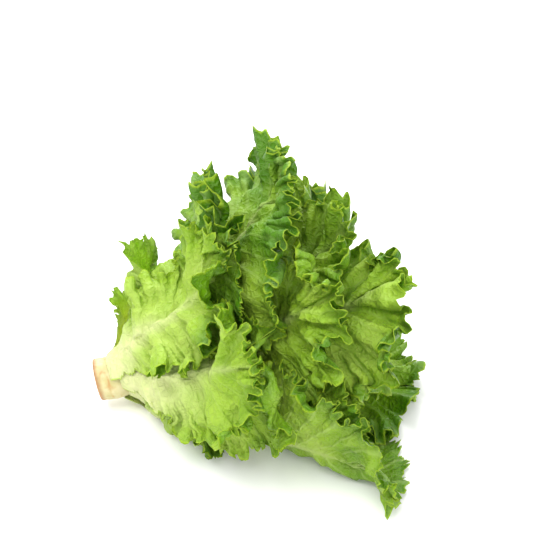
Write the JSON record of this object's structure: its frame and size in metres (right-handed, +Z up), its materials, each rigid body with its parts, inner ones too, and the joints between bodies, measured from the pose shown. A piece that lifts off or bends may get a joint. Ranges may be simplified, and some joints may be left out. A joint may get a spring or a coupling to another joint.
{
  "type": "green leaf lettuce head",
  "caption": "Whole head of loose-leaf lettuce cut from its root and lying on its side, with frilled leaves fanning out from a cut stem.",
  "frame": {"origin": "centre of the bounding box in plan, at the surface the head lies on", "axes": "+X along the head from the cut stem to the leaf tips, +Y across the head, +Z up"},
  "size_m": [0.258, 0.3194, 0.2048],
  "materials": {
    "stem": "cut stem: cream flesh, browned at the cut, matte and slightly moist",
    "outer_leaf": "outer leaves: pale ribs running into light green, lime-edged margins, matte backs",
    "inner_leaf": "inner leaves: bright green with lime-edged frills, slightly glossy upper faces",
    "heart_leaf": "heart leaves: yellow-green, slightly glossy upper faces"
  },
  "bodies": {
    "root": {"stem": "stem", "outer_leaf_01": "outer_leaf", "outer_leaf_02": "outer_leaf", "outer_leaf_03": "outer_leaf", "outer_leaf_04": "outer_leaf", "outer_leaf_05": "outer_leaf", "outer_leaf_06": "outer_leaf", "outer_leaf_07": "outer_leaf", "outer_leaf_08": "outer_leaf", "outer_leaf_09": "outer_leaf", "outer_leaf_10": "outer_leaf", "outer_leaf_11": "outer_leaf", "outer_leaf_12": "outer_leaf", "outer_leaf_13": "outer_leaf", "inner_leaf_01": "inner_leaf", "inner_leaf_02": "inner_leaf", "inner_leaf_03": "inner_leaf", "inner_leaf_04": "inner_leaf", "inner_leaf_05": "inner_leaf", "heart_leaf_01": "heart_leaf", "heart_leaf_02": "heart_leaf", "heart_leaf_03": "heart_leaf", "heart_leaf_04": "heart_leaf", "heart_leaf_05": "heart_leaf"}
  },
  "joints": []
}
